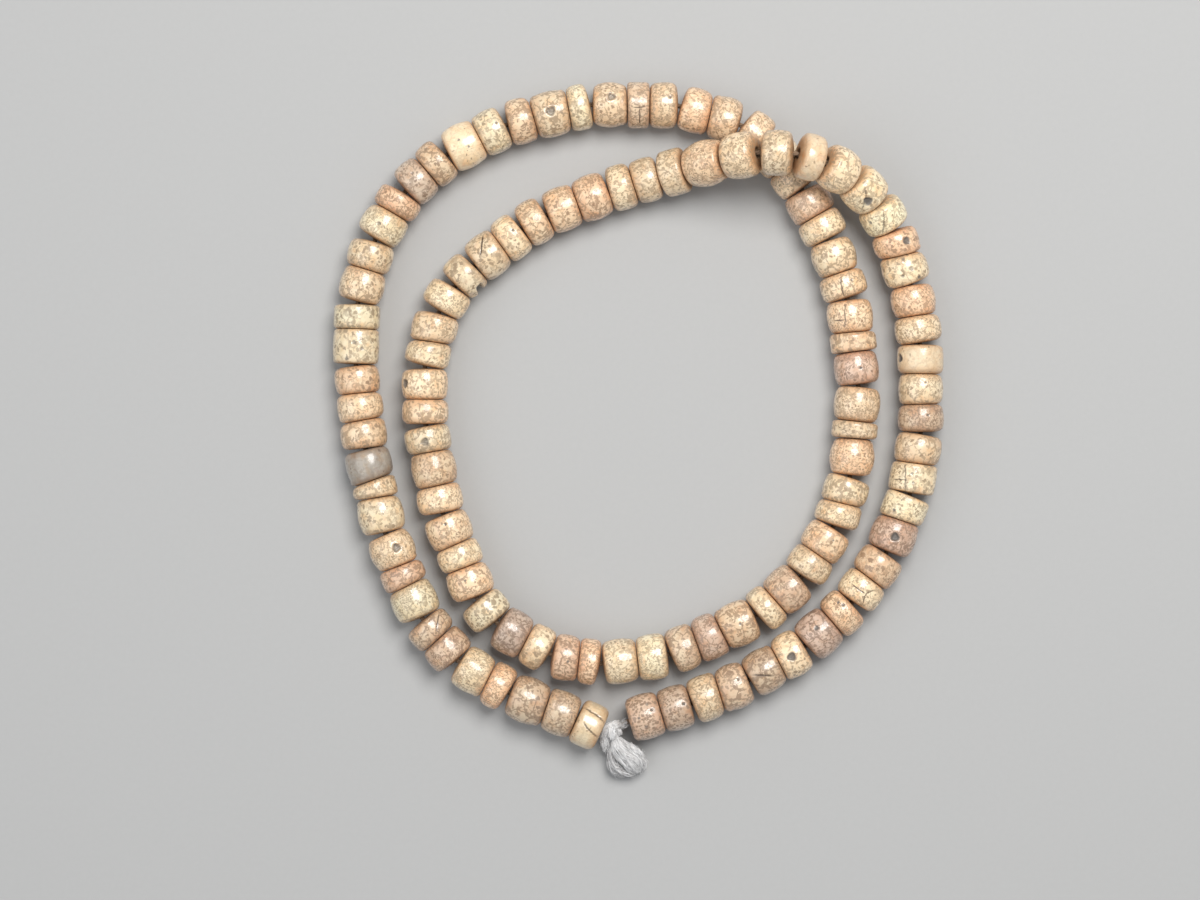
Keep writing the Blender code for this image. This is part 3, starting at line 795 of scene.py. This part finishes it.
def add_lock(threads, cores, spine, radii, many, tone, rng, wander=0.16, thin=1.0, fray=0.0, core=0.80, fuzz=0.8):
    """A soft lock of fine threads about a spine, over a closed core."""
    count = 22
    path = curve_through(spine, count)
    rad = np.maximum(curve_through([(r, 0, 0) for r in radii], count)[:, 0], 0.04)
    tan = np.gradient(path, axis=0)
    tan /= np.linalg.norm(tan, axis=1, keepdims=True)
    ref = np.where(np.abs(tan[:, 2:]) > 0.9, np.array((1.0, 0, 0)), up)
    upn = ref - tan * np.sum(ref * tan, axis=1, keepdims=True)
    upn /= np.linalg.norm(upn, axis=1, keepdims=True) + 1e-9
    sid = np.cross(upn, tan)
    share = np.linspace(0, 1, count)
    core_path = path.copy()
    core_path[:, 2] = np.maximum(core_path[:, 2], core * rad + 0.05)
    # the core is coloured darker than the threads over it (0.75 of their tone): painted shade between the threads
    cores.add(core_path, np.maximum(core * rad * (1 + 0.05 * np.sin(9 * share)), 0.05), 14, tone * 0.75)
    for i in range(many):
        a0 = 2 * math.pi * (i + rng.uniform(-0.5, 0.5)) / many * 3.0
        depth = rng.uniform(0.72, 1.04) + fray * rng.uniform(0, 1) ** 4
        swirl = rng.uniform(-0.5, 1.3)
        phase = a0 + swirl * share + 0.22 * np.sin(rng.uniform(4, 9) * share + rng.uniform(0, 6))
        off = rad * depth * (1 + 0.10 * np.sin(rng.uniform(5, 11) * share + rng.uniform(0, 6)))
        p = path + (off * np.cos(phase))[:, None] * upn + (off * np.sin(phase))[:, None] * sid
        for axis in range(3):
            p[:, axis] += wander * rng.uniform(0.2, 1.0) * np.sin(rng.uniform(6, 15) * share + rng.uniform(0, 6)) * np.minimum(1, 4 * share)
        thick = rng.uniform(0.05, 0.095) * thin
        first_k, last_k = rng.randint(0, 6), count - rng.randint(0, 6)
        p = p[first_k:last_k]
        p[:, 2] = np.maximum(p[:, 2], thick + 0.02)
        width = (thick * np.minimum(1, 0.35 + 3 * np.minimum(share, 1 - share)))[first_k:last_k]
        threads.add(p, width, 4, float(np.clip(tone + rng.uniform(-0.25, 0.22), 0, 1)))
    for i in range(int(many * fuzz)):
        k = rng.randint(2, count - 3)
        phase = rng.uniform(0, 2 * math.pi)
        outward = math.cos(phase) * upn[k] + math.sin(phase) * sid[k]
        around = np.cross(tan[k], outward)
        u = np.linspace(0, 1, 7)[:, None]
        reach = rng.uniform(0.12, 0.42)
        p = (path[k] + outward * (rad[k] * 0.92 + reach * np.sin(u * rng.uniform(1.6, 3.0)))
             + tan[k] * (rng.uniform(0.5, 1.5) * u) + around * (rng.uniform(-0.7, 0.7) * u ** 1.5))
        p[:, 2] = np.maximum(p[:, 2], 0.08)
        threads.add(p, 0.035 * thin, 3, float(np.clip(tone + rng.uniform(-0.1, 0.2), 0, 1)))


def at(x, y, z):
    """A point of the layout, in the row frame."""
    return np.array((x + SHIFT[0], y + SHIFT[1], z))


# the knot: a few wound turns, and yarn bunched against the first bead's end
along = unit((ENDS[0] - ENDS[-1]) * (1, 1, 0))
side = np.cross(up, along)
rng = np.random.RandomState(71)
tubes, core = Tubes(), Tubes()
for ply in range(3):
    t = np.linspace(0, 1, 150)
    turns = 4.0
    x = -0.95 + 1.7 * t + 0.12 * np.sin(2 * math.pi * turns * t * 2)
    swell = np.sqrt(np.clip(1 - (x / 1.8) ** 2, 0.1, 1))
    rad = 1.36 * swell + 0.10 * np.sin(11 * t) + 0.06 * np.sin(23 * t + 1)
    ang = 2 * math.pi * turns * t + 0.3
    twist = 2 * math.pi * 22 * t + 2 * math.pi * ply / 3
    path = (knot + x[:, None] * along + (rad * np.sin(ang))[:, None] * side + (rad * np.cos(ang))[:, None] * up)
    path = path + 0.15 * np.cos(twist)[:, None] * along + 0.15 * np.sin(twist)[:, None] * (np.sin(ang)[:, None] * side + np.cos(ang)[:, None] * up)
    tubes.add(path, 0.15, 6, 0.72 + 0.2 * np.sin(9 * t + 2 * ply))
t = np.linspace(-1.1, 1.1, 16)
# the knot's core is dark grey (tone 0.35): painted shade between the windings
core.add(knot + t[:, None] * along, 1.24 * np.sqrt(np.clip(1 - (t / 1.25) ** 2, 0.02, 1)), 20, 0.35)
# locks of the knot: spine, radii, threads, tone; the second lock, low under the first, is greyer (tone 0.55), and the
# sixth, into bead 111, is much darker (tone 0.25): painted shade under the knot and in the hollow by bead 111
KNOT_LOCKS = [
    ([at(-3.7, -59.7, 5.3), at(-4.6, -59.8, 6.2), at(-5.7, -60.3, 6.3), at(-6.4, -61.2, 5.7), at(-6.7, -62.3, 4.6), at(-6.6, -63.3, 3.4)],
     [0.45, 0.80, 0.95, 0.95, 0.85, 0.40], 74, 0.88),
    ([at(-4.3, -60.2, 3.6), at(-5.3, -60.7, 3.2), at(-6.2, -61.6, 2.9), at(-6.7, -62.9, 2.3), at(-6.6, -64.0, 1.6)],
     [0.80, 1.05, 1.05, 0.95, 0.50], 50, 0.55),
    ([at(-4.0, -58.9, 5.0), at(-4.9, -59.5, 6.4), at(-5.4, -60.6, 6.9), at(-5.2, -61.9, 6.5), at(-4.8, -62.7, 5.4)],
     [0.22, 0.50, 0.62, 0.60, 0.35], 44, 1.0),
    ([at(-6.2, -61.5, 5.3), at(-6.45, -62.5, 5.0), at(-6.45, -63.5, 4.3), at(-6.2, -64.5, 3.3), at(-5.95, -65.1, 2.5)],
     [0.55, 0.88, 0.95, 0.75, 0.30], 80, 0.85),
    ([at(-5.2, -61.2, 5.4), at(-5.1, -61.9, 5.4), at(-5.4, -62.6, 5.0)],
     [0.70, 0.85, 0.55], 50, 0.92),
    ([at(-3.7, -60.2, 4.6), at(-3.0, -59.7, 4.55), at(-2.2, -59.15, 4.6)],
     [0.74, 0.72, 0.68], 34, 0.25),
    ([at(-5.6, -60.6, 4.7), at(-6.4, -61.0, 4.7), at(-7.05, -61.0, 4.66)],
     [0.90, 0.80, 0.55], 26, 0.55),
]
for spine, radii, many, tone in KNOT_LOCKS:
    add_lock(tubes, core, spine, radii, many, tone, rng, wander=0.14, fray=0.16)
place("knot_windings", tubes.mesh("knot_windings"), "cord_and_knot", "thread", SILK, "knot")
place("knot_core", core.mesh("knot_core"), "cord_and_knot", "thread", SILK, "knot")

# the tuft: locks of loose silky thread
root = TUFT_START + SHIFT
level = unit((TUFT_END - TUFT_START) * (1, 1, 0))
right = np.cross(up, level)


def tuft_point(a, b, z):
    return root + level * a + right * b + up * (z - TUFT_START[2])


# (points (mm out from the knot, mm to the right, height), radii, threads, tone)
# the first lock (the left lobe, tone 0.50) and the fifth, lying low under the others (tone 0.40), are greyer: painted
# shade
LOCKS = [
    ([(-1.2, -0.3, 4.5), (0.6, -0.8, 4.0), (2.4, -1.6, 3.4), (4.2, -2.1, 2.7), (5.8, -1.9, 1.7), (6.9, -1.1, 0.9)],
     [0.7, 1.15, 1.40, 1.45, 1.15, 0.5], 100, 0.50),
    ([(-1.6, -0.2, 5.2), (0.2, -0.4, 5.5), (2.2, -0.2, 5.2), (4.2, 0.5, 4.6), (6.0, 1.2, 3.4), (7.0, 1.4, 2.0)],
     [0.6, 0.95, 1.15, 1.25, 1.10, 0.5], 110, 1.0),
    ([(-0.8, 0.3, 4.4), (1.0, 0.7, 4.2), (2.8, 1.3, 4.0), (4.6, 2.2, 3.7), (6.0, 2.3, 2.6), (6.9, 1.7, 1.4)],
     [0.55, 0.85, 1.10, 1.40, 1.25, 0.5], 100, 0.92),
    ([(5.0, 3.0, 3.6), (4.0, 3.2, 4.4), (3.0, 2.9, 4.8), (2.0, 2.3, 4.8), (1.1, 2.0, 4.4)],
     [0.50, 0.46, 0.38, 0.28, 0.10], 34, 1.0),
    ([(-0.6, 0.0, 3.6), (1.4, 0.0, 3.0), (3.4, 0.1, 2.2), (5.2, 0.3, 1.8), (6.6, 0.4, 1.1)],
     [0.8, 1.4, 1.85, 1.75, 0.9], 70, 0.40),
    ([(2.2, -2.2, 3.7), (3.8, -2.5, 3.6), (5.2, -1.7, 3.1), (6.4, -0.4, 2.6), (7.1, 0.8, 2.0)],
     [0.35, 0.75, 0.95, 0.85, 0.35], 60, 0.72),
]
rng = np.random.RandomState(402)
threads, cores = Tubes(), Tubes()
for spine, radii, many, tone in LOCKS:
    add_lock(threads, cores, [tuft_point(*p) for p in spine], radii, many, tone, rng, wander=0.30, fray=0.25, core=0.72)
place("tuft_threads", threads.mesh("tuft_threads"), "thread_tuft", "thread", SILK, "thread_tuft")
place("tuft_core", cores.mesh("tuft_core"), "thread_tuft", "thread", SILK, "thread_tuft")


# ------------------------------------------------------------------ floor, light, camera
def floor_material():
    n = Nodes("pale_floor")
    where = n.new("ShaderNodeTexCoord").outputs["Object"]
    tone = n.math("MULTIPLY_ADD", n.noise(where, 900.0, 3.0, 0.7), 0.05, 0.975)
    shade = n.new("ShaderNodeCombineColor")
    for socket in shade.inputs[:3]:
        n.put(socket, tone)
    colour = n.mix(1.0, linear((0.700, 0.700, 0.698)), shade.outputs[0], "MULTIPLY")
    return n.finish(Base_Color=colour, Roughness=0.85, Specular_IOR_Level=0.2)


bpy.ops.mesh.primitive_grid_add(x_subdivisions=8, y_subdivisions=8, size=3.0, location=(0, 0, 0))
floor = bpy.context.object
floor.name = "floor"
floor.data.materials.append(floor_material())

CENTRE = Vector((-7.7 + SHIFT[0], -4.8 + SHIFT[1], 4.65)) * MM


def area_light(name, direction, distance, size, power, colour=(1, 1, 1)):
    data = bpy.data.lights.new(name, "AREA")
    data.shape = "DISK"
    data.size = size
    data.energy = power
    data.color = colour
    obj = bpy.data.objects.new(name, data)
    bpy.context.scene.collection.objects.link(obj)
    away = Vector(direction).normalized()
    obj.location = CENTRE + away * distance
    obj.rotation_euler = away.to_track_quat("Z", "Y").to_euler()
    return obj


area_light("key", (0.20, 0.38, 0.90), 0.80, 0.46, 6.2, (1.0, 0.985, 0.96))
area_light("fill", (-0.75, -0.12, 0.85), 1.2, 1.1, 3.6, (0.96, 0.98, 1.0))

world = bpy.data.worlds.new("soft_room")
bpy.context.scene.world = world
world.use_nodes = True
world.node_tree.nodes["Background"].inputs[0].default_value = (0.93, 0.96, 1.0, 1.0)
world.node_tree.nodes["Background"].inputs[1].default_value = 0.36

camera = bpy.data.cameras.new("camera")
camera.sensor_width = 36.0
height = 0.62
camera.lens = 36.0 * height / 0.240
camera.clip_start = 0.01
camera.clip_end = 10
view = bpy.data.objects.new("camera", camera)
bpy.context.scene.collection.objects.link(view)
view.location = CENTRE + Vector((0, 0, height))
view.rotation_euler = (0, 0, 0)
bpy.context.scene.camera = view
bpy.context.scene.view_settings.view_transform = "Standard"
